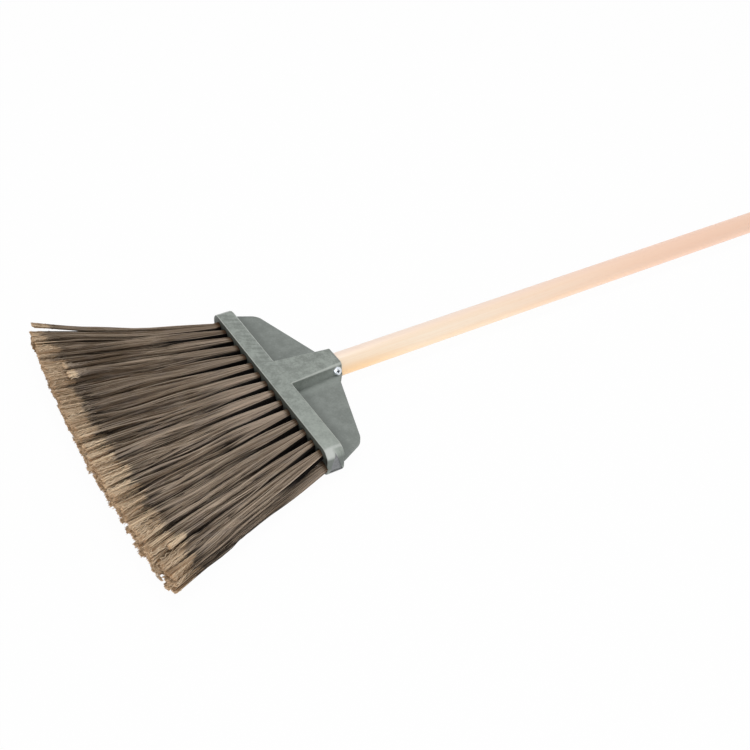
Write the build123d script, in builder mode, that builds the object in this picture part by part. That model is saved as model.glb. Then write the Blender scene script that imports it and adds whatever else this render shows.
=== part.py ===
from build123d import *
from math import cos, radians, sin, sqrt
import os

# A flat fan broom lying on its back, in millimetres. +Y runs up the handle, +X runs along the block to the
# side with the screw, and +Z points out of the front face. The bristle face is the reference for all heights
# of the head, and the origin is the middle of the broom's footprint.

# Handle
handle_length = 1200.0
handle_diameter = 25.0
handle_inner_diameter = 23.0      # narrow end of the taper inside the socket
handle_end_radius = 4.0           # rounding of the free end
handle_inner_chamfer = 1.5
taper_overrun = 2.0               # the taper starts this far outside the mouth

# Socket of the head
socket_height = 78.0              # bristle face to mouth
socket_floor = 6.0                # plastic between the tuft holes and the handle
socket_front_wall = 2.35          # in front of the handle and behind it, where the socket leaves the bar
socket_front_draft = 1.0          # the front and the back come in this much up to the mouth
socket_side_wall = 2.85           # beside the handle at the mouth
socket_flare = 11.2               # extra width of the socket where it leaves the bar
socket_side_draft = 1.6           # each side stands out this much at mid thickness
socket_edge_radius = 1.5          # where the socket leaves the bar
socket_mouth_radius = 4.5         # the same edges at the mouth
socket_foot_radius = 6.0          # hollow between the socket's side and the web, where they leave the bar
socket_foot_mouth_radius = 0.5    # the same hollow at the mouth
socket_foot_reach = 1.4           # the foot reaches this many radii into the web
socket_foot_sink = 0.15           # below the web's surface
seat_clearance = 0.15             # around the tapered end of the handle
seat_end_gap = 0.2

# Bar and web of the head
bar_width = 248.0
bar_height = 19.0
bar_front_radius = 11.0           # front corners, seen on the bristle face
bar_back_radius = 7.0             # back corners
bar_edge_radius = 1.0             # around the bristle face
bar_shoulder_radius = 2.5         # around the side that carries the web
end_recess_depth = 1.0            # three-cornered recess in each end of the bar
end_recess_width = 14.0
end_recess_height = 21.0          # up to its point
end_recess_margin = 5.0           # above the back of the bar
web_thickness = 4.0
web_root_width = 247.0
web_corner_width = 221.0
web_corner_height = 44.5
web_peak_height = 78.0            # where the two sloping edges would meet
web_corner_radius = 16.0

# Screw through the socket's side wall, towards the handle's axis
screw_below_mouth = 5.6
screw_angle = 22.0                # its axis rises this much from the +X side to the front
screw_wall = 3.5                  # plastic between the handle's seat and the screw's head
screw_diameter = 4.0
screw_length = 16.0
screw_point = 3.0
screw_head_diameter = 9.2
screw_head_rim = 0.9
screw_head_height = 2.8
screw_recess_width = 1.3
screw_recess_length = 4.8
screw_recess_depth = 1.5
screw_clearance = 0.05            # around the shank
boss_rim = 0.5                    # the boss under the head stands out this far beside it
spot_clearance = 0.3              # where the seat is sunk into the wall
head_seat_gap = 0.05

# Tufts: two staggered rows, fanned out from the bar
back_tuft_count = 16
front_tuft_count = back_tuft_count - 1
tuft_end_margin = 6.25            # end of the bar to the axis of the last tuft
row_spacing = 10.0
tuft_diameter = 7.6
tuft_collar = 2.5                 # bound root standing out of the hole
hole_depth = 12.0
hole_clearance = 0.2
bristle_length = 186.0            # bristle face to the trimmed ends, in the middle
fan_width = 372.0                 # across the trimmed ends
fan_thickness = 22.0
trim_bow = 9.5                    # the outer tufts end this much short of the middle ones
strand_layers = (4, 5, 4)         # strands in a tuft, from its front to its back
strand_root_width = 1.2
strand_tip_width = 1.7
strand_rim = 0.36                 # strands stay this far inside the bound root

# Staple that pins each folded tuft in its hole
staple_width = 10.4
staple_height = 2.5
staple_thickness = 0.5
staple_depth = 8.0                # bristle face to the middle of the staple
staple_clearance = 0.1

# Places worked out from the sizes above
handle_base_height = hole_depth + socket_floor
overall_length = bristle_length + handle_base_height + handle_length
face_y = bristle_length - overall_length / 2
mouth_y = face_y + socket_height
handle_base_y = face_y + handle_base_height
handle_end_y = handle_base_y + handle_length
taper_end_y = mouth_y + taper_overrun
bore_diameter = handle_diameter + 2 * seat_clearance
block_thickness = bore_diameter + 2 * socket_front_wall
mid_z = block_thickness / 2
mouth_width = bore_diameter + 2 * socket_side_wall - 2 * socket_side_draft
handle_axis = Axis((0, 0, mid_z), (0, 1, 0))
middle_plane = Plane.XY.offset(mid_z)


def across(height):
    """Plane across the handle's axis, facing the handle's free end, at a height above the bristle face."""
    return Plane(origin=(0, face_y + height, mid_z), x_dir=(1, 0, 0), z_dir=(0, 1, 0))


def socket_half_width(height, depth):
    """Half width of the socket at a height above the bristle face and a distance from its mid plane."""
    up_the_socket = (height - bar_height) / (socket_height - bar_height)
    front_half = (mouth_width + socket_flare * (1 - up_the_socket)) / 2
    return front_half + socket_side_draft * (1 - abs(depth) / mid_z)


def bar_section(inset):
    """Outline of the bar on its bristle face, drawn in by an inset all round."""
    with BuildSketch(across(0)) as section:
        Rectangle(bar_width - 2 * inset, block_thickness - 2 * inset)
        fillet(section.vertices().group_by(Axis.Y)[0], bar_front_radius - inset)
        fillet(section.vertices().group_by(Axis.Y)[-1], bar_back_radius - inset)
    return section.sketch


# Three-cornered recesses in the skin of the bar's ends
with BuildPart() as end_recesses:
    with BuildSketch(Plane.YZ):
        bar_middle_y = face_y + bar_height / 2
        Polygon(
            (bar_middle_y - end_recess_width / 2, end_recess_margin),
            (bar_middle_y + end_recess_width / 2, end_recess_margin),
            (bar_middle_y, end_recess_margin + end_recess_height),
            align=None,
        )
    extrude(amount=bar_width, both=True)
    extrude(bar_section(end_recess_depth), amount=bar_height, mode=Mode.SUBTRACT)

# Straight bar that holds the tufts, with round ends
with BuildPart() as bar:
    extrude(bar_section(0), amount=bar_height)
    for end, radius in ((0, bar_edge_radius), (-1, bar_shoulder_radius)):
        fillet(bar.faces().sort_by(Axis.Y)[end].edges(), radius)

# Thin web that spreads from the bar to the socket
with BuildPart() as web:
    with BuildSketch(middle_plane) as web_outline:
        with BuildLine():
            Polyline(
                (-web_root_width / 2, face_y + bar_height / 2),
                (-web_root_width / 2, face_y + bar_height),
                (-web_corner_width / 2, face_y + web_corner_height),
                (0, face_y + web_peak_height),
                (web_corner_width / 2, face_y + web_corner_height),
                (web_root_width / 2, face_y + bar_height),
                (web_root_width / 2, face_y + bar_height / 2),
                close=True,
            )
        make_face()
        fillet(web_outline.vertices().group_by(Axis.Y)[-2], web_corner_radius)
        with Locations((0, mouth_y + web_peak_height)):
            Rectangle(web_root_width, 2 * web_peak_height, mode=Mode.SUBTRACT)
    extrude(amount=web_thickness / 2, both=True)

# Tapered box that takes the handle, with a hollow foot on the web
socket_sections = (
    (bar_height / 2, mid_z, socket_edge_radius, socket_foot_radius),
    (bar_height, mid_z, socket_edge_radius, socket_foot_radius),
    (socket_height, mid_z - socket_front_draft, socket_mouth_radius, socket_foot_mouth_radius),
)
foot_half = web_thickness / 2 - socket_foot_sink
with BuildPart() as socket:
    for height, half_thickness, edge_radius, foot_radius in socket_sections:
        with BuildSketch(across(height)) as section:
            edge_half = socket_half_width(height, half_thickness)
            side_half = socket_half_width(height, foot_half)
            tip_half = side_half + socket_foot_reach * foot_radius
            Polygon(
                (-edge_half, -half_thickness),
                (edge_half, -half_thickness),
                (side_half, -foot_half),
                (tip_half, -foot_half),
                (tip_half, foot_half),
                (side_half, foot_half),
                (edge_half, half_thickness),
                (-edge_half, half_thickness),
                (-side_half, foot_half),
                (-tip_half, foot_half),
                (-tip_half, -foot_half),
                (-side_half, -foot_half),
                align=None,
            )
            levels = section.vertices().group_by(Axis.Y)
            hollows = [v for v in levels[1] + levels[2] if abs(v.X) < (side_half + tip_half) / 2]
            fillet(levels[0] + levels[-1], edge_radius)
            fillet(hollows, foot_radius)
    loft(ruled=True)

# Rows of tufts, each with its hole axis from the bristle face towards the middle of its trimmed end
base_pitch = (bar_width - 2 * tuft_end_margin) / (back_tuft_count - 1)
rows = {
    "front": (front_tuft_count, mid_z + row_spacing / 2, mid_z + fan_thickness / 4),
    "back": (back_tuft_count, mid_z - row_spacing / 2, mid_z - fan_thickness / 4),
}


def trim_y(x):
    """Where the bristles are trimmed, at a place across the fan."""
    return face_y - bristle_length + trim_bow * (2 * x / fan_width) ** 2


def tuft_plane(row, number):
    """Plane at the mouth of a tuft's hole, facing along the tuft to its trimmed end."""
    count, base_z, tip_z = rows[row]
    place = number - (count - 1) / 2
    tip_x = place * fan_width / count
    base = Vector(place * base_pitch, face_y, base_z)
    along = Vector(tip_x, trim_y(tip_x), tip_z) - base
    return Plane(origin=base, x_dir=(-along.Y, along.X, 0), z_dir=along)


hole_planes = {row: [tuft_plane(row, n) for n in range(rows[row][0])] for row in rows}
all_holes = hole_planes["front"] + hole_planes["back"]
staple_places = {row: [plane.offset(-staple_depth) for plane in hole_planes[row]] for row in rows}

# Screw seat: the flat end of a boss on the wall at the +X side
screw_direction = Vector(cos(radians(screw_angle)), 0, sin(radians(screw_angle)))
screw_reach = bore_diameter / 2 + screw_wall
screw_seat = Vector(0, mouth_y - screw_below_mouth, mid_z) + screw_direction * screw_reach
screw_place = Plane(origin=screw_seat, x_dir=(0, 1, 0), z_dir=screw_direction)
screw_head_place = screw_place.offset(head_seat_gap)
shank_hole_radius = screw_diameter / 2 + screw_clearance

# One moulding: bar, web and socket, with the handle's seat, the tuft holes, the staple slots and the screw hole
with BuildPart() as head_block:
    add(bar.part)
    add(web.part)
    add(socket.part)
    add(end_recesses.part, mode=Mode.SUBTRACT)
    with Locations(screw_place):
        Cylinder(
            screw_head_diameter / 2 + boss_rim,
            screw_wall + bore_diameter / 4,
            align=(Align.CENTER, Align.CENTER, Align.MAX),
        )
    with BuildSketch(middle_plane):
        with BuildLine():
            Polyline(
                (0, handle_base_y - seat_end_gap),
                (handle_inner_diameter / 2 + seat_clearance, handle_base_y - seat_end_gap),
                (handle_inner_diameter / 2 + seat_clearance, handle_base_y),
                (bore_diameter / 2, taper_end_y),
                (0, taper_end_y),
                close=True,
            )
        make_face()
    revolve(axis=handle_axis, mode=Mode.SUBTRACT)
    with Locations(*[plane.offset(-hole_depth) for plane in all_holes]):
        Cylinder(
            tuft_diameter / 2 + hole_clearance,
            hole_depth + tuft_diameter,
            align=(Align.CENTER, Align.CENTER, Align.MIN),
            mode=Mode.SUBTRACT,
        )
    with Locations(*staple_places["front"], *staple_places["back"]):
        Box(
            staple_width + 2 * staple_clearance,
            staple_thickness + 2 * staple_clearance,
            staple_height + 2 * staple_clearance,
            mode=Mode.SUBTRACT,
        )
    with Locations(screw_place):
        Cylinder(
            shank_hole_radius,
            screw_reach,
            align=(Align.CENTER, Align.CENTER, Align.MAX),
            mode=Mode.SUBTRACT,
        )
        Cylinder(
            screw_head_diameter / 2 + spot_clearance,
            screw_head_diameter,
            align=(Align.CENTER, Align.CENTER, Align.MIN),
            mode=Mode.SUBTRACT,
        )

# Turned wooden handle with a tapered inner end, a rounded free end and a pilot hole for the screw
with BuildPart() as handle:
    with BuildSketch(middle_plane) as handle_profile:
        with BuildLine():
            Polyline(
                (0, handle_base_y),
                (handle_inner_diameter / 2, handle_base_y),
                (handle_diameter / 2, taper_end_y),
                (handle_diameter / 2, handle_end_y),
                (0, handle_end_y),
                close=True,
            )
        make_face()
        fillet(handle_profile.vertices().group_by(Axis.X)[-1].sort_by(Axis.Y)[-1], handle_end_radius)
        chamfer(handle_profile.vertices().group_by(Axis.Y)[0].sort_by(Axis.X)[-1], handle_inner_chamfer)
    revolve(axis=handle_axis)
    with Locations(screw_place):
        Cylinder(
            shank_hole_radius,
            screw_length + screw_clearance,
            align=(Align.CENTER, Align.CENTER, Align.MAX),
            mode=Mode.SUBTRACT,
        )

# Round-headed screw with a cross recess
with BuildPart() as handle_screw:
    with BuildSketch(Plane(origin=screw_head_place.origin, x_dir=screw_direction, z_dir=(0, 1, 0))):
        with BuildLine():
            Polyline(
                (screw_head_height, 0),
                (-screw_length, 0),
                (-screw_length + screw_point, screw_diameter / 2),
                (0, screw_diameter / 2),
                (0, screw_head_diameter / 2),
                (screw_head_rim, screw_head_diameter / 2),
            )
            TangentArc((screw_head_height, 0), (screw_head_rim, screw_head_diameter / 2), tangent=(0, 1))
        make_face()
    revolve(axis=Axis(screw_head_place.origin, screw_direction))
    with Locations(screw_head_place.offset(screw_head_height)):
        Box(screw_recess_length, screw_recess_width, 2 * screw_recess_depth, mode=Mode.SUBTRACT)
        Box(screw_recess_width, screw_recess_length, 2 * screw_recess_depth, mode=Mode.SUBTRACT)


def make_tuft(row, number):
    """One tuft: a bound root with its staple slot, and strands that spread to their share of the fan."""
    count, base_z, tip_z = rows[row]
    plane = hole_planes[row][number]
    tip_pitch = fan_width / count
    tip_x = (number - (count - 1) / 2) * tip_pitch
    root_radius = tuft_diameter / 2 - strand_rim
    root_step = (2 * root_radius - strand_root_width) / (max(strand_layers) - 1)
    outer_layer_half = (strand_layers[0] - 1) / 2 * root_step + strand_root_width / 2
    root_layer_step = sqrt(root_radius**2 - outer_layer_half**2) - strand_root_width / 2
    tip_step = tip_pitch / max(strand_layers)
    tip_layer_step = fan_thickness / 2 / len(strand_layers)
    with BuildPart() as tuft:
        with Locations(plane.offset(-hole_depth + hole_clearance)):
            Cylinder(
                tuft_diameter / 2,
                hole_depth - hole_clearance + tuft_collar,
                align=(Align.CENTER, Align.CENTER, Align.MIN),
            )
        with Locations(staple_places[row][number]):
            Box(
                staple_width + 2 * staple_clearance,
                staple_thickness + 2 * staple_clearance,
                staple_height + 2 * staple_clearance,
                mode=Mode.SUBTRACT,
            )
        strands = []
        for layer, strand_count in enumerate(strand_layers):
            up = (len(strand_layers) - 1) / 2 - layer
            for strand in range(strand_count):
                side = strand - (strand_count - 1) / 2
                root = (plane.origin.X + side * root_step, face_y, base_z + up * root_layer_step)
                end_x = tip_x + side * tip_step
                end = (end_x, trim_y(end_x), tip_z + up * tip_layer_step)
                with BuildSketch(Plane(origin=root, x_dir=(1, 0, 0), z_dir=(0, -1, 0))):
                    Rectangle(strand_root_width, strand_root_width)
                with BuildSketch(Plane(origin=end, x_dir=(1, 0, 0), z_dir=(0, -1, 0))):
                    Rectangle(strand_tip_width, strand_tip_width)
                strands.append(loft(ruled=True, mode=Mode.PRIVATE))
        add(strands)
    return tuft.part


def make_staples(row):
    """The flat staples of one row, as a group of separate solids."""
    with BuildPart() as staples:
        with Locations(*staple_places[row]):
            Box(staple_width, staple_thickness, staple_height)
    return staples.part


pieces = {"head_block": head_block.part, "handle": handle.part, "handle_screw": handle_screw.part}
for row in rows:
    for number in range(rows[row][0]):
        pieces[f"{row}_tuft_{number + 1:02d}"] = make_tuft(row, number)
    pieces[f"{row}_staples"] = make_staples(row)

os.makedirs("parts", exist_ok=True)
for name, piece in pieces.items():
    piece.label = name
    export_step(piece, f"parts/{name}.step")
print(f"{len(pieces)} pieces, overall length {overall_length:.1f} mm, block {block_thickness:.1f} mm thick")
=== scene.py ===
# %% [markdown]
# # A fan broom with a plastic head
# The broom lies on its back. A grey-green plastic head holds two rows of brown bristle tufts that fan out, and a
# pale wooden handle is screwed into its socket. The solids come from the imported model, so every piece here is made
# in that model's frame, in metres: +Y runs up the handle, +X along the head, and +Z out of the head's front face.

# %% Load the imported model
from math import cos, pi, radians, sin
from types import SimpleNamespace

import bmesh
import bpy
from mathutils import Matrix, Vector


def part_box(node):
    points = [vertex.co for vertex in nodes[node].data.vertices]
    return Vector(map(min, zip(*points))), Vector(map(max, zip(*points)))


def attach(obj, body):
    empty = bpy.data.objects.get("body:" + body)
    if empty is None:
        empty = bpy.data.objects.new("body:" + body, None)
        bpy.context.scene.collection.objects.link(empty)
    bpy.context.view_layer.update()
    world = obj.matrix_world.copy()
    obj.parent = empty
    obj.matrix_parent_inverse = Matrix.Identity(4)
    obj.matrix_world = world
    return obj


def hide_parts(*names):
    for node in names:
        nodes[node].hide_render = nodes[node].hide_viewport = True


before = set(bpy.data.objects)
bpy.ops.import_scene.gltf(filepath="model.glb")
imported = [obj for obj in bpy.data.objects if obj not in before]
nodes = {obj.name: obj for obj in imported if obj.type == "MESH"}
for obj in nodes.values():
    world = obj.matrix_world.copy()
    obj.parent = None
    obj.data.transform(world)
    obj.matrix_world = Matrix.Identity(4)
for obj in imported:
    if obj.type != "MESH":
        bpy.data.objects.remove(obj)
scene = bpy.context.scene
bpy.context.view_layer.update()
block_low, block_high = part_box("head_block")
face_y = block_low.y
mouth_y = block_high.y
bar_end = block_high.x
mid_z = (block_low.z + block_high.z) / 2

# %% [markdown]
# ## Wires and graphs
# Shaders and Geometry Nodes are both trees of nodes, and building them by hand takes many lines. A Wire stands for
# one output socket, and arithmetic on it adds the Math node, so a formula reads like one. A Graph makes any other
# node in one call: its type, its settings, then the values or wires of its inputs.

# %% The two helper classes
class Wire:
    """One value in a node tree. Arithmetic on it adds Math or Vector Math nodes."""

    def __init__(self, graph, socket):
        self.graph = graph
        self.socket = socket

    def output(self, name):
        """Another output of the same node."""
        return Wire(self.graph, self.graph.pick(self.socket.node.outputs, name))

    def __add__(self, other):
        return self.graph.math("ADD", self, other)

    def __radd__(self, other):
        return self.graph.math("ADD", other, self)

    def __sub__(self, other):
        return self.graph.math("SUBTRACT", self, other)

    def __rsub__(self, other):
        return self.graph.math("SUBTRACT", other, self)

    def __mul__(self, other):
        return self.graph.math("MULTIPLY", self, other)

    def __rmul__(self, other):
        return self.graph.math("MULTIPLY", other, self)

    def __truediv__(self, other):
        return self.graph.math("DIVIDE", self, other)

    def __pow__(self, other):
        return self.graph.math("POWER", self, other)

    def __abs__(self):
        return self.graph.math("ABSOLUTE", self)


class Graph:
    """A node tree that is filled one call at a time."""

    def __init__(self, tree):
        self.tree = tree

    def pick(self, sockets, key):
        if isinstance(key, int):
            return sockets[key]
        return next(s for s in sockets if s.enabled and s.name == key)

    def node(self, kind, settings=None, inputs=None):
        """Makes a node and returns its first output in use."""
        made = self.tree.nodes.new(kind)
        for name, value in (settings or {}).items():
            setattr(made, name, value)
        for key, value in (inputs or {}).items():
            socket = self.pick(made.inputs, key)
            if isinstance(value, Wire):
                self.tree.links.new(value.socket, socket)
            else:
                socket.default_value = value
        shown = [s for s in made.outputs if s.enabled]
        return Wire(self, shown[0]) if shown else made

    def math(self, operation, *values):
        vector = any(isinstance(v, tuple) or (isinstance(v, Wire) and v.socket.type == "VECTOR") for v in values)
        if vector:
            values = [(v, v, v) if isinstance(v, (int, float)) else v for v in values]
        kind = "ShaderNodeVectorMath" if vector else "ShaderNodeMath"
        return self.node(kind, {"operation": operation}, dict(enumerate(values)))

    def most(self, *values):
        """The largest of several values."""
        largest = values[0]
        for value in values[1:]:
            largest = self.math("MAXIMUM", largest, value)
        return largest

    def below(self, value, limit):
        return self.math("LESS_THAN", value, limit)

    def above(self, value, limit):
        return self.math("GREATER_THAN", value, limit)

    def split(self, vector):
        """The three numbers of a vector."""
        parts = self.node("ShaderNodeSeparateXYZ", {}, {"Vector": vector})
        return parts, parts.output("Y"), parts.output("Z")

    def step(self, value, low, high):
        """0 before low, 1 past high, and smooth between. Low may be the larger one."""
        return self.node("ShaderNodeMapRange", {"interpolation_type": "SMOOTHSTEP"},
                         {"Value": value, "From Min": low, "From Max": high})

    def mix(self, factor, a, b):
        """One colour fading into another."""
        return self.node("ShaderNodeMix", {"data_type": "RGBA"}, {0: factor, 6: a, 7: b})

    def noise(self, vector, scale, detail, roughness):
        return self.node("ShaderNodeTexNoise", {},
                         {"Vector": vector, "Scale": scale, "Detail": detail, "Roughness": roughness})

    def place(self, scale=(1, 1, 1)):
        """Object coordinates, stretched."""
        where = self.node("ShaderNodeTexCoord").output("Object")
        return self.node("ShaderNodeMapping", {}, {"Vector": where, "Scale": scale})


print("helper classes:", Wire.__name__, "and", Graph.__name__)

# %% [markdown]
# ## Finishes
# Every finish here is one Principled shader. What changes over the surface comes from a function that draws it with
# a Graph. What is the same all over is set on the shader's own sockets, so that an export keeps it. Colours are
# written as on a paint chart, from 0 to 255, and turned into the linear values that shaders use.

# %% Helpers for materials
def finish_surface(name, build, **fixed):
    """A material: build gives what varies over the surface, and fixed sets the shader's own sockets."""
    material = bpy.data.materials.new(name)
    material.use_nodes = True
    material.node_tree.nodes.clear()
    graph = Graph(material.node_tree)
    varying = build(graph)
    sockets = {key.replace("_", " ").title().replace("Ior", "IOR"): value for key, value in fixed.items()}
    shader = graph.node("ShaderNodeBsdfPrincipled", {}, {**sockets, **varying})
    graph.node("ShaderNodeOutputMaterial", {}, {"Surface": shader})
    print(name, "with", len(material.node_tree.nodes), "nodes")
    return material


def srgb(red, green, blue):
    chart = [v / 255 for v in (red, green, blue)]
    return (*[v / 12.92 if v <= 0.04045 else ((v + 0.055) / 1.055) ** 2.4 for v in chart], 1.0)


def bump(graph, height, distance, strength):
    return graph.node("ShaderNodeBump", {}, {"Height": height, "Distance": distance, "Strength": strength})


def dress(material, *names):
    """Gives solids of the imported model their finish."""
    for name in names:
        nodes[name].data.materials.clear()
        nodes[name].data.materials.append(material)


print("a chart's middle grey is", round(srgb(128, 128, 128)[0], 3), "to a shader")

# %% [markdown]
# ## The camera
# The view is the photograph's: from the bristle side, over the screw's end of the head. Three directions, right,
# down and forward, make the camera's rotation, and the lens follows from the picture's width.

# %% Camera
picture_pixels = 750
focal_pixels = 1018.6
camera_right = Vector((0.51949, 0.85333, 0.04416))
camera_down = Vector((0.56387, -0.30353, -0.76807))
camera_forward = Vector((-0.64201, 0.42391, -0.63884))
camera_place = Vector((0.69789, -0.84847, 0.67679))

camera_data = bpy.data.cameras.new("camera")
camera = bpy.data.objects.new("camera", camera_data)
scene.collection.objects.link(camera)
camera_turn = Matrix((camera_right, -camera_down, -camera_forward)).transposed()
camera.matrix_world = Matrix.Translation(camera_place) @ camera_turn.to_4x4()
camera_data.sensor_width = 36.0
camera_data.lens = focal_pixels / picture_pixels * camera_data.sensor_width
camera_data.clip_start = 0.01
scene.camera = camera
print("lens", round(camera_data.lens, 2), "mm")

# %% [markdown]
# ## Floor and light
# A broom for sale is shown on a seamless white ground, like a light table. The floor is white and glows: strongly
# towards the camera and reflections, so that it reads as white with only a faint shadow, and a little towards
# everything else, so that the round handle is bright underneath. A wide lamp hangs overhead, a smaller one beside
# the camera lifts the near ends, and a pale world fills the shadows.

# %% Floor
floor_size, floor_drop = 12, 0.0006
glow_on_things = 0.35
plain_share = 0.97
white = (1, 1, 1, 1)

bpy.ops.mesh.primitive_plane_add(size=floor_size, location=(0, 0, -floor_drop))
floor = bpy.context.object
floor.name = "studio_floor"


def seen_directly(graph):
    """1 for rays from the camera, also by way of a mirror or through glass."""
    rays = graph.node("ShaderNodeLightPath")
    return graph.most(*[rays.output(f"Is {kind} Ray") for kind in ("Camera", "Glossy", "Transmission")])


floor_paint = bpy.data.materials.new("studio_white")
floor_paint.use_nodes = True
floor_paint.node_tree.nodes.clear()
floor_graph = Graph(floor_paint.node_tree)
seen = seen_directly(floor_graph)
matt_white = floor_graph.node("ShaderNodeBsdfDiffuse", {}, {"Color": srgb(240, 240, 240)})
table_glow = floor_graph.node("ShaderNodeEmission", {}, {"Color": white, "Strength": (1 - seen) * glow_on_things})
lit_table = floor_graph.node("ShaderNodeAddShader", {}, {0: matt_white, 1: table_glow})
plain_white = floor_graph.node("ShaderNodeEmission", {}, {"Color": white, "Strength": 1.0})
floor_mix = floor_graph.node("ShaderNodeMixShader", {}, {0: seen * plain_share, 1: lit_table, 2: plain_white})
floor_graph.node("ShaderNodeOutputMaterial", {}, {"Surface": floor_mix})
floor.data.materials.append(floor_paint)
print("floor", floor_size, "m wide")

# %% World and lamps
fill_strength = 0.45
world = bpy.data.worlds.new("studio")
scene.world = world
world.use_nodes = True
world.node_tree.nodes.clear()
world_graph = Graph(world.node_tree)
backdrop = seen_directly(world_graph) * (1 - fill_strength) + fill_strength
sky = world_graph.node("ShaderNodeBackground", {}, {"Color": white, "Strength": backdrop})
world_graph.node("ShaderNodeOutputWorld", {}, {"Surface": sky})


def soft_lamp(name, place, target, size, power):
    data = bpy.data.lights.new(name, "AREA")
    data.shape = "DISK"
    data.size = size
    data.energy = power
    lamp = bpy.data.objects.new(name, data)
    lamp.location = place
    lamp.rotation_euler = (Vector(target) - Vector(place)).to_track_quat("-Z", "Y").to_euler()
    scene.collection.objects.link(lamp)
    print("lamp", name, power, "W,", size, "m wide")


lit_middle = (0, -0.4, 0)
soft_lamp("overhead", (-0.45, -0.1, 1.7), lit_middle, 1.0, 13)
soft_lamp("beside_camera", (1.3, -0.9, 0.6), lit_middle, 0.9, 6)
scene.view_settings.view_transform = "Standard"

# %% [markdown]
# ## The head's plastic
# The head is a satin polypropylene moulding. It isn't one flat colour: regrind makes it cloudy and the skin has a
# fine grain. The walls over the tuft holes sank a little while they cooled, and the shade of these shallow dents is
# painted as darker tone. The raised faces are paler than the web. Painted shade darkens the web behind the bar, the
# socket's side under its ridge and its mouth, the face with the holes and the ground round each hole. Painted light
# brightens the foot of the socket's side, and painted highlights make the edges and the corners of the bar's ends
# pale. Painting that on a picture would need an unwrapped mesh, so the material asks where a point lies instead.
# First come the questions that are asked more than once.

# %% Where a point of the head lies
base_pitch = 0.0157
row_apart = 0.005
bar_height = 0.019


def head_spot(graph):
    """The place of a point, its normal, and the part of the head that it belongs to."""
    spot = SimpleNamespace(where=graph.place())
    spot.x, spot.y, spot.z = graph.split(spot.where)
    spot.side = abs(spot.x)
    spot.from_plane = abs(spot.z - mid_z)
    spot.normal = graph.node("ShaderNodeNewGeometry").output("Normal")
    spot.normal_x, spot.normal_y, spot.normal_z = graph.split(spot.normal)
    spot.sideways = abs(spot.normal_x)
    spot.raised = graph.step(spot.from_plane, 0.004, 0.011)
    spot.on_end = graph.step(spot.side, bar_end - 0.0105, bar_end - 0.006)
    past_bar = graph.step(spot.y, face_y + bar_height, face_y + bar_height + 0.002)
    spot.near_socket = graph.step(spot.side, 0.06, 0.05)
    spot.on_socket = spot.near_socket * past_bar
    spot.shaded = graph.step(spot.normal_y, -0.6, -0.9)
    return spot


print("bar", round(bar_end * 2000), "mm wide,", round(bar_height * 1000), "mm tall")

# %% [markdown]
# Painted highlights go on the edges, where small roundings would catch the light. The surface's own normal finds the
# small roundings along the edges, where it turns from one face to the next. The Bevel node finds edges that are
# still sharp: it gives a softened normal, which differs from the true one only near an edge. The painted shade
# round the tuft holes repeats with their pitch, so the fraction of x in pitches finds it.

# %% Painted edge highlights and painted shade round the holes
bevel_radius = 0.0016


# Painted highlights: pale edges where light would catch the small roundings and sharp edges.
def edge_highlights(graph, spot):
    soft_normal = graph.node("ShaderNodeBevel", {"samples": 8}, {"Radius": bevel_radius})
    agreement = graph.node("ShaderNodeVectorMath", {"operation": "DOT_PRODUCT"},
                           {0: soft_normal, 1: spot.normal}).output("Value")
    tilted = graph.step(abs(spot.normal_y), 0.22, 0.5) * graph.step(abs(spot.normal_z), 0.2, 0.45)
    bar_edge = tilted * (1 - graph.step(spot.sideways, 0.25, 0.5))
    more_at_far_end = 0.6 + graph.step(spot.x, 0.06, -0.08) * 0.35
    less_at_web = 1 - graph.step(spot.normal_y, 0.0, 0.2) * 0.45
    ridge = graph.step(spot.sideways, 0.3, 0.6) * graph.step(abs(spot.normal_z), 0.3, 0.6) * spot.near_socket
    sharp_edge = graph.step(agreement, 0.998, 0.94) * spot.raised * 0.5
    return graph.most(bar_edge * more_at_far_end * less_at_web, ridge * 0.5, sharp_edge) * (1 - spot.on_end * 0.75)


# Painted shade: a dark ring round each tuft hole, where the tufts enter the face.
def shade_around_holes(graph, spot):
    def near(shift, row_z):
        apart = (graph.math("FRACT", spot.x / base_pitch + shift) - 0.5) * base_pitch
        away = spot.z - row_z
        return graph.step(graph.math("SQRT", apart * apart + away * away), 0.0058, 0.0042)

    return graph.most(near(0.5, mid_z + row_apart), near(0.0, mid_z - row_apart))


print("tuft holes every", round(base_pitch * 1000, 1), "mm")

# %% [markdown]
# Now the colours go on in layers, as a painter would lay them: the cloudy web with the painted shade of the sink
# marks and painted shade behind the bar, the raised faces paler than the web, the painted shadow under the socket's
# ridge, painted light on the socket's foot, painted shade at its mouth, painted shade on the face with the holes and
# round each hole, and last the painted highlights on the edges and corners and the darker grey recess in the bar's
# end.
# Noise at three sizes gives the clouds, the specks and the grain.

# %% Plastic of the head
recess_point = 0.026
recess_slope = 1 / 3


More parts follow.
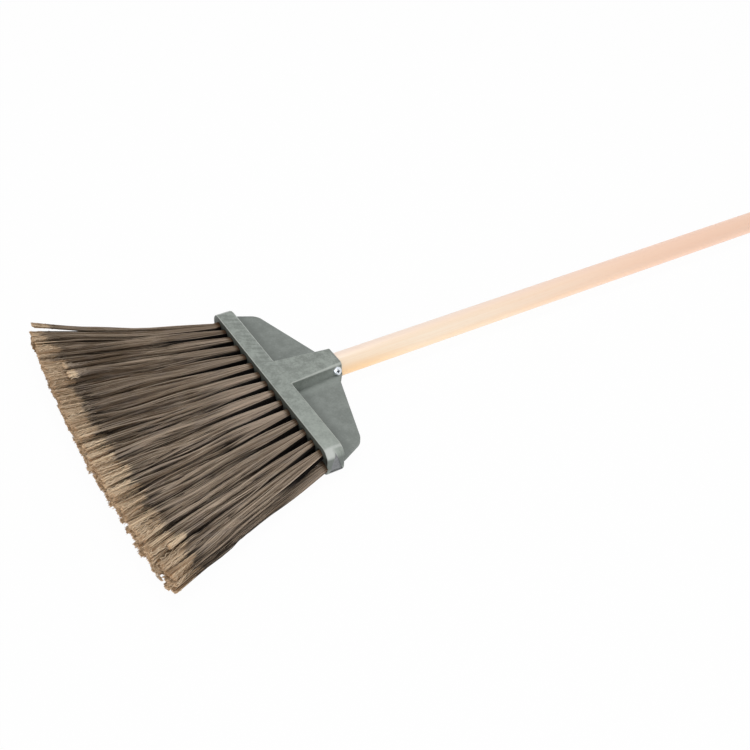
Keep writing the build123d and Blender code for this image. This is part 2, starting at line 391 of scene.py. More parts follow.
def plastic(graph):
    spot = head_spot(graph)
    clouds = graph.noise(spot.where, 95.0, 4.0, 0.65)
    specks = graph.noise(spot.where, 420.0, 2.0, 0.7)
    grain = graph.noise(spot.where, 1500.0, 2.0, 0.6)

    # Painted shade of the sink marks: the shallow dents over the holes are not in the shape, so their shade is a
    # darker tone.
    over_holes = graph.step(spot.y, face_y + 0.003, face_y + 0.009)
    over_holes = over_holes * graph.step(spot.y, face_y + bar_height, face_y + 0.016)
    ripple = graph.math("COSINE", (spot.x + clouds * 0.004 - spot.y * 0.6) * (4 * pi / base_pitch))
    sink_shade = graph.step(ripple, 0.2, 1.0) * over_holes * spot.raised * graph.step(spot.x, 0.03, -0.04)
    tone = graph.step(clouds * 0.6 + specks * 0.4 - sink_shade * 0.09, 0.34, 0.66)
    web = graph.mix(tone, srgb(109, 115, 110), srgb(129, 135, 130))
    # Painted shade on the web just behind the bar, which stands over it.
    shade_behind_bar = graph.step(spot.y, face_y + 0.036, face_y + 0.026)
    web = graph.mix(shade_behind_bar * 0.45, web, srgb(80, 86, 81))
    # The raised faces are painted paler than the web, and paler still towards the bar's +X end.
    raised_tone = graph.mix(tone, srgb(114, 120, 114), srgb(148, 155, 148))
    colour = graph.mix(spot.raised, web, raised_tone)
    near_end = graph.step(spot.x, 0.0, 0.12) * spot.raised
    colour = graph.mix(near_end * 0.25, colour, srgb(182, 190, 181))

    # Painted shadow on the socket's side under its ridge.
    ridge_shadow = graph.step(spot.from_plane, 0.007, 0.0125) * graph.step(spot.sideways, 0.7, 0.9) * spot.on_socket
    colour = graph.mix(ridge_shadow * 0.42, colour, srgb(80, 86, 82))
    # Painted light on the fillet at the foot of the socket's side, where it turns up.
    lit_foot = graph.step(spot.from_plane, 0.011, 0.005) * graph.step(spot.side, 0.034, 0.025) * spot.on_socket
    colour = graph.mix(lit_foot * 0.28, colour, srgb(160, 167, 161))
    # Painted shade along the rim of the socket's mouth.
    shaded_mouth_rim = graph.step(spot.y, mouth_y - 0.0022, mouth_y - 0.0006)
    colour = graph.mix(shaded_mouth_rim * 0.55, colour, srgb(70, 76, 72))

    # Painted shade on the face with the holes, which the bristles shade, less at the far end, and darkest round each
    # hole.
    painted_shade = spot.shaded * (1 - graph.step(spot.x, -bar_end + 0.016, -bar_end + 0.006) * 0.7)
    colour = graph.mix(painted_shade * 0.75, colour, srgb(66, 70, 64))
    colour = graph.mix(shade_around_holes(graph, spot) * painted_shade * 0.85, colour, srgb(22, 20, 16))
    # Painted highlights along the edges.
    colour = graph.mix(edge_highlights(graph, spot) * (1 - spot.shaded), colour, srgb(206, 211, 204))

    # Painted highlights on the rounded corners of the bar's ends.
    corner = graph.step(spot.sideways * spot.normal_z, 0.12, 0.42) * spot.on_end
    corner = corner * graph.step(spot.y, face_y + 0.013, face_y + 0.006)
    turning_highlight = graph.step(spot.sideways, 0.15, 0.3) * graph.step(spot.sideways, 0.6, 0.4)
    turning_highlight = turning_highlight * spot.on_end * (1 - spot.shaded)
    colour = graph.mix(graph.most(corner * 0.65, turning_highlight * 0.45), colour, srgb(212, 215, 211))
    # The recess in the bar's end is painted a darker grey.
    from_middle = abs(spot.y - (face_y + bar_height / 2))
    in_recess = graph.step((recess_point - spot.z) * recess_slope - from_middle, -0.0004, 0.0004) * spot.on_end
    colour = graph.mix(in_recess * 0.8, colour, graph.mix(tone, srgb(108, 110, 112), srgb(136, 136, 140)))
    return {"Base Color": colour, "Roughness": specks * 0.18 + 0.45,
            "Normal": bump(graph, grain * 0.5 + specks * 0.5, 0.0003, 0.5)}


dress(finish_surface("head_plastic", plastic, ior=1.49), "head_block")

# %% [markdown]
# ## The handle's wood
# The handle is a turned stick of pale softwood under a clear coat. Its grain runs along Y, so noise that is
# stretched a hundredfold along Y draws the fibres, and a second, wider one draws the bands of early and late wood.
# The stick's near lower side is painted yellower as warm bounce light, most of all next to the socket, its upper
# far side is painted paler as lit, and it is redder towards its free end.

# %% Wood of the handle
def pale_wood(graph):
    across_x, along_y, across_z = graph.split(graph.place())
    fibres = graph.noise(graph.place((1.0, 0.012, 1.0)), 900.0, 3.0, 0.6)
    bands = graph.noise(graph.place((1.0, 0.03, 1.0)), 120.0, 2.0, 0.5)
    pores = graph.step(graph.noise(graph.place((1.0, 0.05, 1.0)), 1600.0, 1.0, 0.5), 0.66, 0.78)
    grain = graph.step(fibres * 0.5 + bands * 0.5, 0.3, 0.7)
    # Painted light: warm bounce on the near lower side, strongest next to the socket, and a paler lit upper side.
    turned_down = across_x - across_z + mid_z
    near_socket = graph.step(along_y, -0.33, -0.43)
    painted_bounce = graph.step(turned_down, 0.004, 0.016) * (near_socket * 0.4 + 0.35)
    painted_bounce_near_socket = graph.step(turned_down, -0.006, 0.014) * near_socket
    turned_up = graph.step(turned_down, -0.004, -0.016)
    redder = graph.step(along_y, -0.38, 0.1)
    colour = graph.mix(grain, srgb(255, 238, 216), srgb(252, 226, 198))
    colour = graph.mix(painted_bounce, colour, srgb(255, 216, 166))
    colour = graph.mix(painted_bounce_near_socket * 0.4, colour, srgb(255, 206, 140))
    colour = graph.mix(turned_up * 0.5, colour, srgb(255, 231, 221))
    colour = graph.mix(redder * 0.8, colour, srgb(252, 207, 181))
    colour = graph.mix(pores * 0.25, colour, srgb(222, 182, 142))
    return {"Base Color": colour, "Roughness": fibres * 0.15 + 0.33, "Normal": bump(graph, fibres, 0.0002, 0.35)}


dress(finish_surface("handle_wood", pale_wood, coat_weight=0.25, coat_roughness=0.2), "handle")

# %% [markdown]
# ## Metal of the screw and the staples
# Bright zinc plate: nearly white, a little blue, with fine random wear in its roughness. The recess in the screw's
# head is dull, because the plating is thin there and dirt stays in it.

# %% Metals
def zinc(graph):
    wear = graph.noise(graph.place(), 700.0, 3.0, 0.6)
    tint = graph.mix(wear, srgb(205, 212, 220), srgb(236, 240, 244))
    return {"Base Color": tint, "Roughness": wear * 0.25 + 0.2, "Normal": bump(graph, wear, 0.0001, 0.3)}


def dull_zinc(graph):
    dirt = graph.noise(graph.place(), 900.0, 3.0, 0.6)
    return {"Base Color": graph.mix(dirt, srgb(66, 70, 76), srgb(112, 118, 124)), "Roughness": dirt * 0.2 + 0.55}


screw_zinc = finish_surface("screw_zinc", zinc, metallic=1.0)
recess_zinc = finish_surface("recess_zinc", dull_zinc, metallic=0.6)
dress(screw_zinc, "front_staples", "back_staples")

# %% [markdown]
# ## The screw
# A round-headed wood screw holds the handle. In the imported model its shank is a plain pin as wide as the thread,
# so a finer screw takes its place. Its body is a profile turned round the axis, as on a lathe. A Screw modifier
# could turn it too, but a few lines of bmesh give closed poles at both ends.

# %% Turned body of the screw
head_radius, head_rim, head_rise = 0.0046, 0.0009, 0.0028
core_radius, thread_radius = 0.0014, 0.00195
shank_length, point_length = 0.016, 0.003
turned_steps = 48

profile = [(0.0, -shank_length), (core_radius, -shank_length + point_length), (core_radius, -0.0022)]
profile += [(thread_radius, -0.0016), (thread_radius, 0.0), (head_radius - 0.0002, 0.0), (head_radius, 0.0002)]
profile += [(head_radius * cos(a), head_rim + (head_rise - head_rim) * sin(a))
            for a in [radians(5 * k) for k in range(18)]]
profile += [(0.0, head_rise)]


def turned(points, steps):
    """A closed mesh from a profile of (radius, height), turned round Z."""
    made = bmesh.new()
    rings = []
    for radius, height in points:
        if radius == 0:
            rings.append([made.verts.new((0, 0, height))])
        else:
            angles = [2 * pi * k / steps for k in range(steps)]
            rings.append([made.verts.new((radius * cos(a), radius * sin(a), height)) for a in angles])
    for low, high in zip(rings, rings[1:]):
        for k in range(steps):
            corners = [low[k % len(low)], low[(k + 1) % len(low)], high[(k + 1) % len(high)], high[k % len(high)]]
            made.faces.new(list(dict.fromkeys(corners)))
    bmesh.ops.recalc_face_normals(made, faces=made.faces)
    return made


def as_object(made, name):
    mesh = bpy.data.meshes.new(name)
    made.to_mesh(mesh)
    made.free()
    thing = bpy.data.objects.new(name, mesh)
    scene.collection.objects.link(thing)
    return thing


screw_body = as_object(turned(profile, turned_steps), "screw_body")
print("turned body", len(screw_body.data.polygons), "faces")

# %% [markdown]
# The head has a cross recess that narrows towards its bottom. A punch forms the real one, and here a cutter of the
# same shape does it: a twelve-cornered outline, smaller at the bottom, taken away with a Boolean modifier.

# %% Cross in the screw's head
arm, half_width = 0.0024, 0.00065
cross_depth, cross_taper, cutter_above = 0.0017, 0.45, 0.0004

quarter = [(arm, half_width), (half_width, half_width), (half_width, arm)]
cross_outline = [(x * cos(q) - y * sin(q), x * sin(q) + y * cos(q))
                 for q in [pi / 2 * k for k in range(4)] for x, y in quarter]
corners = len(cross_outline)
cutter_mesh = bmesh.new()
bottom, top = [[cutter_mesh.verts.new((x * s, y * s, z)) for x, y in cross_outline]
               for s, z in ((cross_taper, head_rise - cross_depth), (1.0, head_rise + cutter_above))]
for k in range(corners):
    after = (k + 1) % corners
    cutter_mesh.faces.new([bottom[k], bottom[after], top[after], top[k]])
for ring in (bottom, top):
    cutter_mesh.faces.new(ring)
bmesh.ops.recalc_face_normals(cutter_mesh, faces=cutter_mesh.faces)
cutter = as_object(cutter_mesh, "cross_cutter")
cut = screw_body.modifiers.new("cross", "BOOLEAN")
cut.operation = "DIFFERENCE"
cut.solver = "EXACT"
cut.object = cutter


def plain_mesh(thing, name):
    """The finished shape of an object with modifiers, as a mesh of its own. The object is removed."""
    bpy.context.view_layer.update()
    mesh = bpy.data.meshes.new_from_object(thing.evaluated_get(bpy.context.evaluated_depsgraph_get()))
    mesh.name = name
    bpy.data.objects.remove(thing)
    return mesh


body_mesh = plain_mesh(screw_body, "screw_body_cut")
bpy.data.objects.remove(cutter)
print("body with its cross", len(body_mesh.polygons), "faces")

# %% [markdown]
# The thread follows a path, so a Geometry Nodes tree sweeps a three-cornered section along a spiral. It swells from
# nothing at the point and runs out under the head. Its sizes are the tree's inputs, and a modifier sets them by
# the identifier of each input. The bristles use the same three helpers later.

# %% Helpers for Geometry Nodes
def new_tree(name, inputs):
    """An empty tree with named inputs, the inputs' identifiers, its graph, and the node that gives the inputs."""
    tree = bpy.data.node_groups.new(name, "GeometryNodeTree")
    keys = {label: tree.interface.new_socket(label, in_out="INPUT", socket_type=kind).identifier
            for label, kind in inputs.items()}
    tree.interface.new_socket("Geometry", in_out="OUTPUT", socket_type="NodeSocketGeometry")
    graph = Graph(tree)
    return tree, keys, graph, graph.node("NodeGroupInput")


def close_tree(graph, geometry, material):
    """Ends a tree with real geometry in its material, because an export drops instances."""
    real = graph.node("GeometryNodeRealizeInstances", {}, {"Geometry": geometry})
    dressed = graph.node("GeometryNodeSetMaterial", {}, {"Geometry": real, "Material": material})
    graph.node("NodeGroupOutput", {}, {"Geometry": dressed})
    print(graph.tree.name, "with", len(graph.tree.nodes), "nodes")


def run_tree(name, tree, keys, sizes):
    """Runs a tree with these sizes and gives the result as a plain mesh."""
    carrier = bpy.data.objects.new(name + "_carrier", bpy.data.meshes.new(name + "_carrier"))
    scene.collection.objects.link(carrier)
    modifier = carrier.modifiers.new("tree", "NODES")
    modifier.node_group = tree
    for label, value in sizes.items():
        modifier[keys[label]] = value
    return plain_mesh(carrier, name)


# %% The screw's thread
thread_sizes = {"Length": 0.0132, "Pitch": 0.0018, "Core radius": core_radius, "Thread radius": thread_radius,
                "Top": -0.0018}
thread_inputs = dict.fromkeys(thread_sizes, "NodeSocketFloat")
swept_thread, thread_keys, graph, given = new_tree("swept_thread", thread_inputs)
length, core = given.output("Length"), given.output("Core radius")
spiral = graph.node("GeometryNodeCurveSpiral", {},
                    {"Resolution": 20, "Rotations": length / given.output("Pitch"), "Start Radius": core,
                     "End Radius": core, "Height": length})
drop = graph.node("ShaderNodeCombineXYZ", {}, {"Z": given.output("Top") - length})
spiral = graph.node("GeometryNodeSetPosition", {}, {"Geometry": spiral, "Offset": drop})
part = graph.node("GeometryNodeSplineParameter").output("Factor")
fullness = graph.step(part, 0.0, 0.22) * graph.step(part, 1.0, 0.93) + 0.02
spiral = graph.node("GeometryNodeSetCurveRadius", {}, {"Curve": spiral, "Radius": fullness})
section = graph.node("GeometryNodeCurvePrimitiveCircle", {},
                     {"Resolution": 3, "Radius": given.output("Thread radius") - core})
ridge = graph.node("GeometryNodeCurveToMesh", {}, {"Curve": spiral, "Profile Curve": section, "Fill Caps": True})
close_tree(graph, ridge, screw_zinc)
thread_mesh = run_tree("screw_thread", swept_thread, thread_keys, thread_sizes)
print("thread", len(thread_mesh.polygons), "faces")

# %% [markdown]
# The screw stands on a boss near the socket's mouth and points at the handle's axis. Body and thread become one
# mesh, which is turned and moved into place. The faces inside the cross get the dull metal: they lie below the dome
# that the head would have without it.

# %% The screw in its place
screw_angle = radians(22)
screw_reach = 0.0162
screw_below_mouth = 0.0056
sharp_from = radians(30)
under_dome = 0.00012

screw_direction = Vector((cos(screw_angle), 0, sin(screw_angle)))
screw_seat = Vector((0, mouth_y - screw_below_mouth, mid_z)) + screw_direction * screw_reach
screw_turn = Matrix((Vector((0, 1, 0)), screw_direction.cross(Vector((0, 1, 0))), screw_direction)).transposed()
joined = bmesh.new()
joined.from_mesh(body_mesh)
bmesh.ops.remove_doubles(joined, verts=joined.verts, dist=1e-7)
bmesh.ops.recalc_face_normals(joined, faces=joined.faces)
for face in joined.faces:
    centre = face.calc_center_median()
    reach = Vector((centre.x, centre.y)).length
    dome = head_rim + (head_rise - head_rim) * max(0.0, 1 - (reach / head_radius) ** 2) ** 0.5
    in_cross = head_rim < centre.z < dome - under_dome and reach < arm * 1.05
    face.material_index = 1 if in_cross else 0
    face.smooth = True
for edge in joined.edges:
    edge.smooth = edge.calc_face_angle(0.0) < sharp_from
joined.from_mesh(thread_mesh)
bmesh.ops.transform(joined, matrix=Matrix.Translation(screw_seat) @ screw_turn.to_4x4(), verts=joined.verts)
fine_screw = as_object(joined, "fine_screw")
for material in (screw_zinc, recess_zinc):
    fine_screw.data.materials.append(material)
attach(fine_screw, "screw")
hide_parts("handle_screw")
print("screw with", len(fine_screw.data.polygons), "faces at", [round(v, 4) for v in screw_seat])

# %% [markdown]
# ## The bristles
# Each tuft is a few hundred stiff filaments, folded in a hole and pinned there. They leave the hole as a tight
# stick, swell, part into locks halfway, and end in pale split tips that were trimmed along a bowed line. Hair
# particles would not export, and modelling each filament by hand is hopeless. So one Geometry Nodes tree lays every
# filament along a formula. It also leaves five numbers on the filaments, which the material reads: how far along a
# point lies, how pale the filament is, how much painted shade it gets, where its pale end starts, and whether it
# lies on the shaded side of its lock. The brown is dusty and reddish at the roots. Painted light makes the sticks
# paler, most in the middle of the fan, and painted shade darkens the hollows behind the pale ends.

# %% Filament colours
rows_half_width = 0.13


def filament(graph):
    def carried(name):
        return graph.node("ShaderNodeAttribute", {"attribute_name": name}).output("Fac")

    along, tone, inside = carried("along"), carried("tone"), carried("inside")
    pale_from, rim = carried("pale_from"), carried("rim")
    pale = graph.step(along, pale_from - 0.014, pale_from + 0.014)
    # Painted shade in the hollows just behind the pale ends, on the shaded side of each lock.
    hollow_shade = graph.step(along, pale_from - 0.11, pale_from - 0.04)
    hollow_shade = hollow_shade * graph.step(along, pale_from + 0.01, pale_from - 0.01)
    streak = graph.noise(graph.place((1.0, 0.06, 1.0)), 600.0, 2.0, 0.6)
    dust = graph.step(graph.noise(graph.place((1.0, 0.2, 1.0)), 160.0, 2.0, 0.6), 0.5, 0.68)
    shade = graph.step(tone * 0.75 + streak * 0.25, 0.12, 0.88)
    x, _, _ = graph.split(graph.place())
    across = x / rows_half_width
    # Painted light: the sticks near the roots are paler, most of all across the middle of the fan.
    painted_light = graph.step(across, -0.25, 0.05) * graph.step(across, 0.55, 0.35)
    stick = graph.step(along, 0.035, 0.06) * graph.step(along, 0.42, 0.22)
    root = graph.step(along, 0.06, 0.037)
    cut_end = graph.step(along, 0.988, 0.998)
    # Painted shade: the tree's inside number and the hollows darken the colour almost to black.
    dark = graph.most(inside, hollow_shade * rim * 0.85)
    brown = graph.mix(shade, srgb(110, 92, 73), srgb(203, 185, 165))
    brown = graph.mix(dust * 0.35, brown, srgb(154, 144, 137))
    brown = graph.mix(stick * (painted_light * 0.5 + 0.2), brown, srgb(214, 196, 178))
    brown = graph.mix(root * 0.65, brown, srgb(120, 86, 54))
    tan = graph.mix(shade, srgb(158, 126, 94), srgb(255, 234, 204))
    colour = graph.mix(pale, brown, tan)
    colour = graph.mix(cut_end * 0.6, colour, graph.mix(tone, srgb(160, 120, 84), srgb(246, 214, 176)))
    colour = graph.mix(dark * 0.98, colour, srgb(5, 4, 5))
    return {"Base Color": colour, "Roughness": streak * 0.2 + 0.5}


filament_brown = finish_surface("filament_brown", filament, ior=1.45, specular_ior_level=0.08)

# %% [markdown]
# ### A stroke for each hair
# Every hair starts as the same straight stroke with a few points along it. The tree makes one point for each hair,
# puts a stroke on it and turns the strokes into real curves. Each point of a curve then knows which hair it belongs
# to and how far along it lies, from 0 in the hole to 1 at the tip, and the formulas start from those two numbers.
# Hairs that begin near the tips, thinner and crimped, are the split ends, so the start is an input too.

# %% A tree with strokes
hair_inputs = dict.fromkeys(("Tufts", "Hairs", "Segments", "Lot", "Seed"), "NodeSocketInt")
hair_inputs |= dict.fromkeys(("Base pitch", "Fan width", "Base height", "Tip height", "Start", "Hair radius",
                              "End flare", "Crimp", "Facing", "Stray"), "NodeSocketFloat")
laid_filaments, hair_keys, g, given = new_tree("laid_filaments", hair_inputs)
tufts, hairs, facing = given.output("Tufts"), given.output("Hairs"), given.output("Facing")
points = g.node("GeometryNodePoints", {}, {"Count": tufts * hairs})
stroke = g.node("GeometryNodeCurvePrimitiveLine")
stroke = g.node("GeometryNodeResampleCurve", {}, {"Curve": stroke, "Count": given.output("Segments") + 1})
strokes = g.node("GeometryNodeInstanceOnPoints", {}, {"Points": points, "Instance": stroke})
strokes = g.node("GeometryNodeRealizeInstances", {}, {"Geometry": strokes})
hair = g.node("GeometryNodeCurveOfPoint", {}, {"Point Index": g.node("GeometryNodeInputIndex")})
part = g.node("GeometryNodeSplineParameter").output("Factor")
start = given.output("Start")
t = start + (1 - start) * part
print("strokes:", len(g.tree.nodes), "nodes,", len(hair_inputs), "inputs")

# %% [markdown]
# ### Tuft, lock and hair
# A tuft isn't an even brush: its filaments cling together in locks. Random numbers with fixed seeds deal them out.
# A number drawn for the tuft or the lock is shared by all its hairs, and one drawn for the hair is its own. Over the
# round hole the locks are spread by the golden angle, like the seeds of a sunflower, because that fills a circle
# evenly with any count.

# %% Which tuft, which lock, and where in it
locks = 14
golden_angle = 2.39996
lock_spread = 0.82
salts_per_lot = 50


def draw(low, high, what, seed):
    return g.node("FunctionNodeRandomValue", {"data_type": "FLOAT"},
                  {"Min": low, "Max": high, "ID": what, "Seed": seed})


def chance(what, low, high, salt):
    """A random number that a tuft or a lock keeps."""
    return draw(low, high, what, given.output("Seed") + salt)


def own(low, high, salt):
    """A random number that one hair keeps."""
    return draw(low, high, hair, given.output("Seed") + given.output("Lot") * salts_per_lot + salt)


tuft = g.math("FLOOR", (hair + 0.5) / hairs)
place = tuft - (tufts - 1) / 2
along_row = place / tufts * 2
far_half = g.step(along_row, 0.1, -0.5)
outermost = g.step(abs(along_row), 0.86, 0.9)
number = g.math("FLOOR", own(0.0, locks - 0.001, 1))
lock = tuft * locks + number
lock_reach = g.math("SQRT", (number + 0.5) / locks) * lock_spread
lock_angle = number * golden_angle + chance(tuft, 0.0, 2 * pi, 2)
lock_x = lock_reach * g.math("COSINE", lock_angle)
lock_z = lock_reach * g.math("SINE", lock_angle)
own_reach = g.math("SQRT", own(0.0, 1.0, 3))
own_angle = own(0.0, 2 * pi, 4)
lee = own_reach * g.math("COSINE", own_angle)
gathered = 0.42 - g.step(t, 0.2, 0.5) * 0.22 + g.step(t, 0.7, 1.0) * 0.02
unit_x = lock_x + lee * gathered
unit_z = lock_z + own_reach * g.math("SINE", own_angle) * gathered
outward = unit_z * facing
to_row_end = unit_x * place
print("tufts and locks:", len(g.tree.nodes), "nodes,", locks, "locks to a tuft")

# %% [markdown]
# ### From stick to fan
# The tufts stand close together in the bar and spread to the full width of the fan at the tips. Each is as round as
# its hole at the root and swells quickly, until it touches its neighbours. Only the last tuft at the open end of a
# row stays straight on its outside. Noise that neighbouring hairs share shows as streaks, and where it is low the
# tuft opens.

# %% Widths of a tuft, streaks and openings
root_radius = 0.0037
tip_half_depth = 0.0058
tip_share = 0.56


def shared(across, along, salt):
    """Noise that neighbouring hairs share."""
    where = g.node("ShaderNodeCombineXYZ", {}, {"X": unit_x * across + tuft * 7.3, "Y": t * along,
                                                "Z": unit_z * 1.5 + given.output("Seed") + salt})
    return g.noise(where, 1.0, 1.0, 0.5)


strand = g.step(shared(7.0, 2.2, 0.3), 0.36, 0.64)
opening = g.step(shared(4.6, 6.0, 20.3), 0.385, 0.3) * g.step(t, 0.25, 0.4) * g.step(t, 0.93, 0.86)
opening = opening * (1 - far_half * 0.4)
tip_pitch = given.output("Fan width") / tufts
pitch = given.output("Base pitch") + (tip_pitch - given.output("Base pitch")) * t
swell = g.math("SMOOTH_MIN", t * 1.95, t * 0.7 + 0.3, 0.08)
open_end = outermost * g.below(place * facing, 0.0)
covered_end = outermost * g.above(place * facing, 0.0)
straight_side = open_end * g.step(to_row_end, 0.0, 2.0) * 0.75
wide = root_radius + (tip_pitch * tip_share - root_radius) * (swell - (swell - t) * straight_side)
deep = root_radius + (tip_half_depth - root_radius) * swell
print("widths:", len(g.tree.nodes), "nodes")

# %% [markdown]
# ### Waves and unruly ends
# Locks wave a little as a whole, single hairs quiver, split ends are crimped and flare, and a rare hair sticks far
# out. Hairs deep inside, next to the other row, spread sideways to close the tuft from behind. All of it is sines
# and random numbers that fade in along the hair, so that the roots stay in their holes.

# %% Waves, crimp and flare
wave_reach = 0.0011
quiver_reach, quiver_turns = 0.0005, 15.0
crimp_turns = 150.0
wild_reach = 0.01
sway_reach = 0.005

loose = g.step(t, 0.12, 0.5) * (1 - outermost * 0.6)
lock_wave = t * chance(lock, 5.0, 14.0, 5) + chance(lock, 0.0, 2 * pi, 6)
wave_x = g.math("SINE", lock_wave) * wave_reach * loose
wave_z = g.math("COSINE", lock_wave) * wave_reach * loose
quiver = g.math("SINE", t * quiver_turns + own(0.0, 2 * pi, 7)) * quiver_reach * t
crimp_wave = t * crimp_turns + own(0.0, 2 * pi, 8)
crimp = given.output("Crimp") * g.step(t, 0.84, 0.9)
flare = g.step(t, 0.84, 1.0) ** 2 * given.output("End flare") * (1 - outermost * 0.5)
wild = own(0.0, 1.0, 9) ** 20 * own(-1.0, 1.0, 10) * wild_reach * t * t * (1 - outermost * 0.8)
hidden = g.step(outward, -0.1, -0.7) * g.step(t, 0.03, 0.07) * (1 - g.step(t, 0.35, 0.65))
hidden = hidden * (1 - outermost * g.step(to_row_end, -1.5, -0.2))
at_far_end = g.below(tuft, 0.5) * given.output("Stray")
sway = chance(lock, -1.0, 1.0, 11) * sway_reach * t ** 1.5 * (1 - at_far_end) * (1 - outermost * 0.6)
print("waves:", len(g.tree.nodes), "nodes")

# %% [markdown]
# ### Locks that went astray
# A used broom shows a few locks of its own. At the far end of the front row one lock has parted from the rest, with
# a gap under it. A few locks have broken short. Near the other corner one thin lock hooks sideways past the line of
# the tips. Each is found by its place among the locks, so no hair is made by hand.

# %% Stray, short and hooked locks
splay_from, splay_rate, splay_reach = 0.74, 2.45, 0.0125
hook_at, hook_from, hook_half_width = 0.156, 0.955, 0.0014
short_locks = {-0.112: 0.016, -0.098: 0.016, 0.160: 0.016}
short_half_width = 0.006

stray = at_far_end * g.below(lock_x, -0.28) * g.above(lock_z * facing, -0.08)
splay = stray * g.math("SMOOTH_MAX", (t - splay_from) * splay_rate, 0.0, 0.2)
slant = at_far_end * g.step(t, 0.0, 0.06) * g.step(t, 0.75, 0.35) * 0.0045
lean = g.step(along_row, -0.72, -0.92) * g.step(t, 0.35, 1.0) * (0.0085 - stray * 0.002) - slant
lock_tip_x = (place + lock_x * tip_share) * tip_pitch
hooked = g.below(abs(lock_tip_x - hook_at), hook_half_width) * g.below(facing, 0.0)
hooked = hooked * g.above(given.output("Crimp"), 0.0)
bend = g.math("MAXIMUM", (t - hook_from) / (1 - hook_from), 0.0)
missing = g.above(chance(lock, 0.0, 1.0, 15), 0.97) * chance(lock, 0.012, 0.04, 19)
for short_at, lost in short_locks.items():
    near = g.below(abs(lock_tip_x - short_at), short_half_width) * given.output("Stray")
    missing = g.math("MAXIMUM", missing, near * lost)
missing = missing * g.above(lock_z * facing, 0.3)
print("stray locks:", len(g.tree.nodes), "nodes,", len(short_locks), "short locks in fixed places")

# %% [markdown]
# ### The place of every point
# Now all of it adds up. X is the tuft's place in the row and the hair's place in the tuft, Z the height of the row
# and the hair's depth in it. Y runs from the bottom of the hole to the tips. These were trimmed along a bowed line,
# shorter at both ends of the fan, but never quite evenly.

# %% Across and out of the face
widest = 0.2035
lowest = 0.0006
hook_turn = 0.0065

x = place * pitch + unit_x * wide * (1 + hidden * 1.7) + sway + wave_x + quiver - splay * splay_reach - lean
x = x + hooked * bend * (bend * hook_turn - lee * gathered * wide * 0.95)
x = x + own(-1.0, 1.0, 12) * flare + wild + g.math("SINE", crimp_wave) * crimp
x = g.math("MAXIMUM", g.math("MINIMUM", x, widest), -widest)
base_z = given.output("Base height")
z = base_z + (given.output("Tip height") - base_z) * t + splay * 0.003
z = z + unit_z * deep - facing * (hidden * 0.003 + opening * 0.0025 - missing * t * t * 0.2)
z = z + wave_z + quiver + chance(lock, -1.0, 1.0, 13) * 0.0014 * t + g.math("COSINE", crimp_wave) * crimp
z = z + own(-1.0, 1.0, 14) * flare * 0.7 + abs(wild) * facing * 0.6
z = g.math("MAXIMUM", z, lowest)
print("across:", len(g.tree.nodes), "nodes")

# %% Along, to the trimmed ends
bristle_length = 0.186
root_in_hole = 0.006
trim_bow = 0.0095
corner_cut = 0.005
hook_bulge = 0.0048
notch_beside_hook, notch_depth = 0.009, 0.0045

side = x * 2 / given.output("Fan width")
trim = trim_bow * side * side + g.step(side, 0.88, 1.04) * corner_cut + chance(tuft, -0.0012, 0.0012, 16)
uneven = 0.55 + g.step(side, 0.2, 0.7) * 0.4
trim = trim + chance(lock, -0.003, 0.0026, 17) * uneven + own(-0.0008, 0.0008, 18) + missing + stray * 0.004
trim = trim + g.step(abs(x - hook_at - notch_beside_hook), 0.008, 0.004) * notch_depth * (1 - hooked)
y = face_y + root_in_hole - (bristle_length + root_in_hole - trim) * t
y = y - hooked * g.math("SINE", bend * pi) * hook_bulge
path = g.node("ShaderNodeCombineXYZ", {}, {"X": x, "Y": y, "Z": z})
laid = g.node("GeometryNodeSetPosition", {}, {"Geometry": strokes, "Position": path})
laid = g.node("GeometryNodeSetCurveRadius", {}, {"Curve": laid, "Radius": 1 - g.step(t, 0.6, 1.0) * 0.3})
print("along:", len(g.tree.nodes), "nodes")

# %% [markdown]
# ### What the colours need
# The tone of a hair comes from its lock, its streak and itself. Painted light makes locks paler on the side that
# faces the light, painted shade makes the hairs round the middle of a split end darker than those in it, and painted
# light and shade make one part of the fan paler and another darker. Deep between the rows the hairs are painted dark
# as shade, and so are the hairs in their hole, the openings, which also lie deeper, and the slits between the locks.
# With far fewer hairs than the real tuft has, shadow alone would not make these dark enough.

# %% Tone of a hair
tone = chance(lock, 0.0, 0.24, 20) + strand * (0.5 - far_half * 0.2) + own(0.0, 0.22, 21)
# Painted light: the side of each lock that faces the light is paler.
tone = tone + (g.math("SINE", lock_wave * 1.7) + 1) * 0.02 + g.step(lee, 0.0, -0.8) * (0.16 - far_half * 0.1)
# Painted light and shade: one part of the fan is paler, another darker.
across = x * 2 / (pitch * tufts)
painted_light = g.step(across, 0.25, 0.6) + g.step(across, -0.35, -0.55) * g.step(t, 0.65, 0.5)
painted_shade = g.step(across, -0.42, -0.28) * g.step(across, 0.08, -0.06)
tone = tone + (painted_light - painted_shade) * g.step(t, 0.25, 0.4) * g.step(t, 0.9, 0.8) * 0.1
tone = tone - covered_end * g.step(to_row_end, 4.0, -1.0) * 0.2
# The ends are pale. Painted shade darkens the hairs round the middle of each split-end lock.
tone = tone + g.step(t, 0.86, 0.96) * (0.38 - own_reach * own_reach * 0.55 + missing * 20)
print("tone:", len(g.tree.nodes), "nodes")

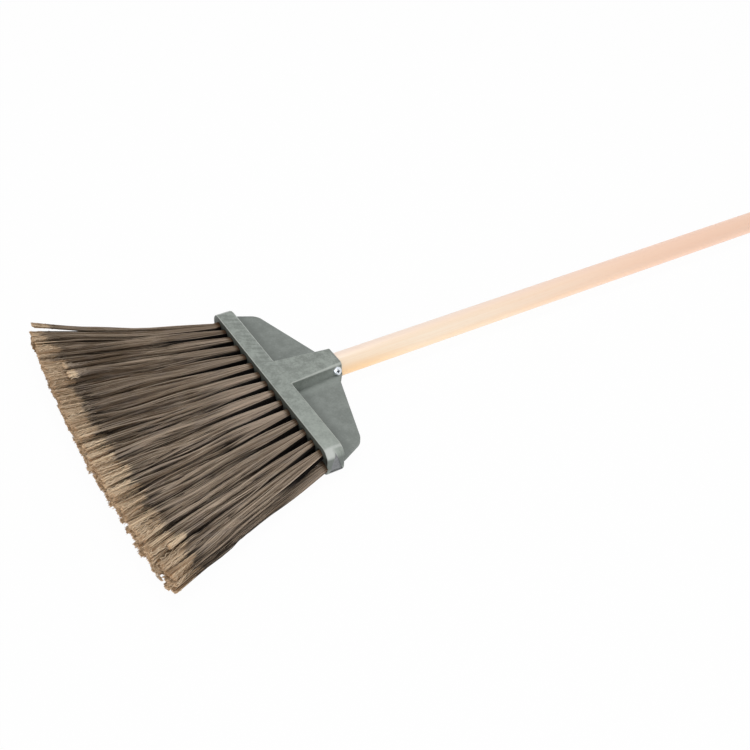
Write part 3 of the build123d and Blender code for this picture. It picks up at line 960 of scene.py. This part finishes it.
# %% Painted shade and pale ends
# Painted shade: hairs deep between the rows, in their hole, in the openings and in the slits on the lee side of
# locks are painted dark.
flank = g.step(abs(unit_x), 0.55, 0.95)
fade_from = chance(lock, 0.14, 0.32, 24) + flank * chance(lock, 0.0, 0.14, 25)
fade_from = fade_from - g.step(along_row, 0.2, -0.6) * 0.08
in_sight = open_end * g.step(to_row_end, -4.5, -2.0)
deep_dark = g.step(outward - flank * 0.6, 0.16, -0.04) * (1 - g.step(t, fade_from, fade_from + 0.25))
deep_dark = deep_dark * (1 - in_sight * 0.9)
slit = g.step(lee, 0.5, 0.85) * g.step(t, 0.22, 0.36) * g.step(t, 0.96, 0.92) * (1 - far_half * 0.8)
in_hole = g.step(t, 0.04, 0.031)
inside = g.most(deep_dark, opening * 0.85, in_hole, slit * 0.84)
rim = g.step(lee, 0.2, 0.65) * (1 - g.step(across, -0.3, -0.65) * 0.7)
pale_from = 0.94 - side * 0.03 - chance(lock, 0.0, 0.07, 22) - own(0.0, 0.014, 23) + missing * 2.5
pale_from = pale_from - g.step(side, 0.93, 1.0) * 0.06 + hooked * 0.03
for name, value in {"along": t, "tone": tone, "inside": inside, "pale_from": pale_from, "rim": rim}.items():
    laid = g.node("GeometryNodeStoreNamedAttribute", {"data_type": "FLOAT", "domain": "POINT"},
                  {"Geometry": laid, "Name": name, "Value": value})
print("colours:", len(g.tree.nodes), "nodes")

# %% [markdown]
# ### Tubes
# A filament is thinner than a pixel, so three corners round it are enough, and smooth shading hides them. That keeps
# a whole row of tufts under the limit for one piece.

# %% From paths to tubes
section = g.node("GeometryNodeCurvePrimitiveCircle", {}, {"Resolution": 3, "Radius": given.output("Hair radius")})
tubes = g.node("GeometryNodeCurveToMesh", {}, {"Curve": laid, "Profile Curve": section, "Fill Caps": True})
tubes = g.node("GeometryNodeSetShadeSmooth", {}, {"Geometry": tubes})
close_tree(g, tubes, filament_brown)

# %% [markdown]
# ### Both rows
# The front row has 15 tufts and the back row 16, half a pitch aside. Three runs of the tree fill each row: thick
# filaments, thinner ones between them, and split ends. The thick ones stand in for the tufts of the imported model.

# %% Filaments and split ends of both rows
fan_width = 0.372
tips_apart = 0.0055
rows = {
    "front": {"Tufts": 15, "Base height": mid_z + row_apart, "Tip height": mid_z + tips_apart, "Facing": 1.0,
              "Stray": 1.0, "Seed": 3},
    "back": {"Tufts": 16, "Base height": mid_z - row_apart, "Tip height": mid_z - tips_apart, "Facing": -1.0,
             "Stray": 0.0, "Seed": 241},
}
kinds = {
    "bristles": {"Hairs": 118, "Start": 0.0, "Hair radius": 0.00045, "End flare": 0.0008, "Crimp": 0.0,
                 "Segments": 15, "Lot": 0},
    "more_bristles": {"Hairs": 118, "Start": 0.0, "Hair radius": 0.00036, "End flare": 0.0012, "Crimp": 0.0,
                      "Segments": 15, "Lot": 1},
    "split_ends": {"Hairs": 130, "Start": 0.86, "Hair radius": 0.00028, "End flare": 0.0017, "Crimp": 0.0008,
                   "Segments": 14, "Lot": 2},
}
for row, row_sizes in rows.items():
    for kind, kind_sizes in kinds.items():
        name = f"{row}_{kind}"
        sizes = {"Base pitch": base_pitch, "Fan width": fan_width, **row_sizes, **kind_sizes}
        piece = bpy.data.objects.new(name, run_tree(name, laid_filaments, hair_keys, sizes))
        scene.collection.objects.link(piece)
        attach(piece, "broom")
        if kind == "bristles":
            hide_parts(*[f"{row}_tuft_{n:02d}" for n in range(1, sizes["Tufts"] + 1)])
        print(name, sum(len(p.vertices) - 2 for p in piece.data.polygons), "triangles")
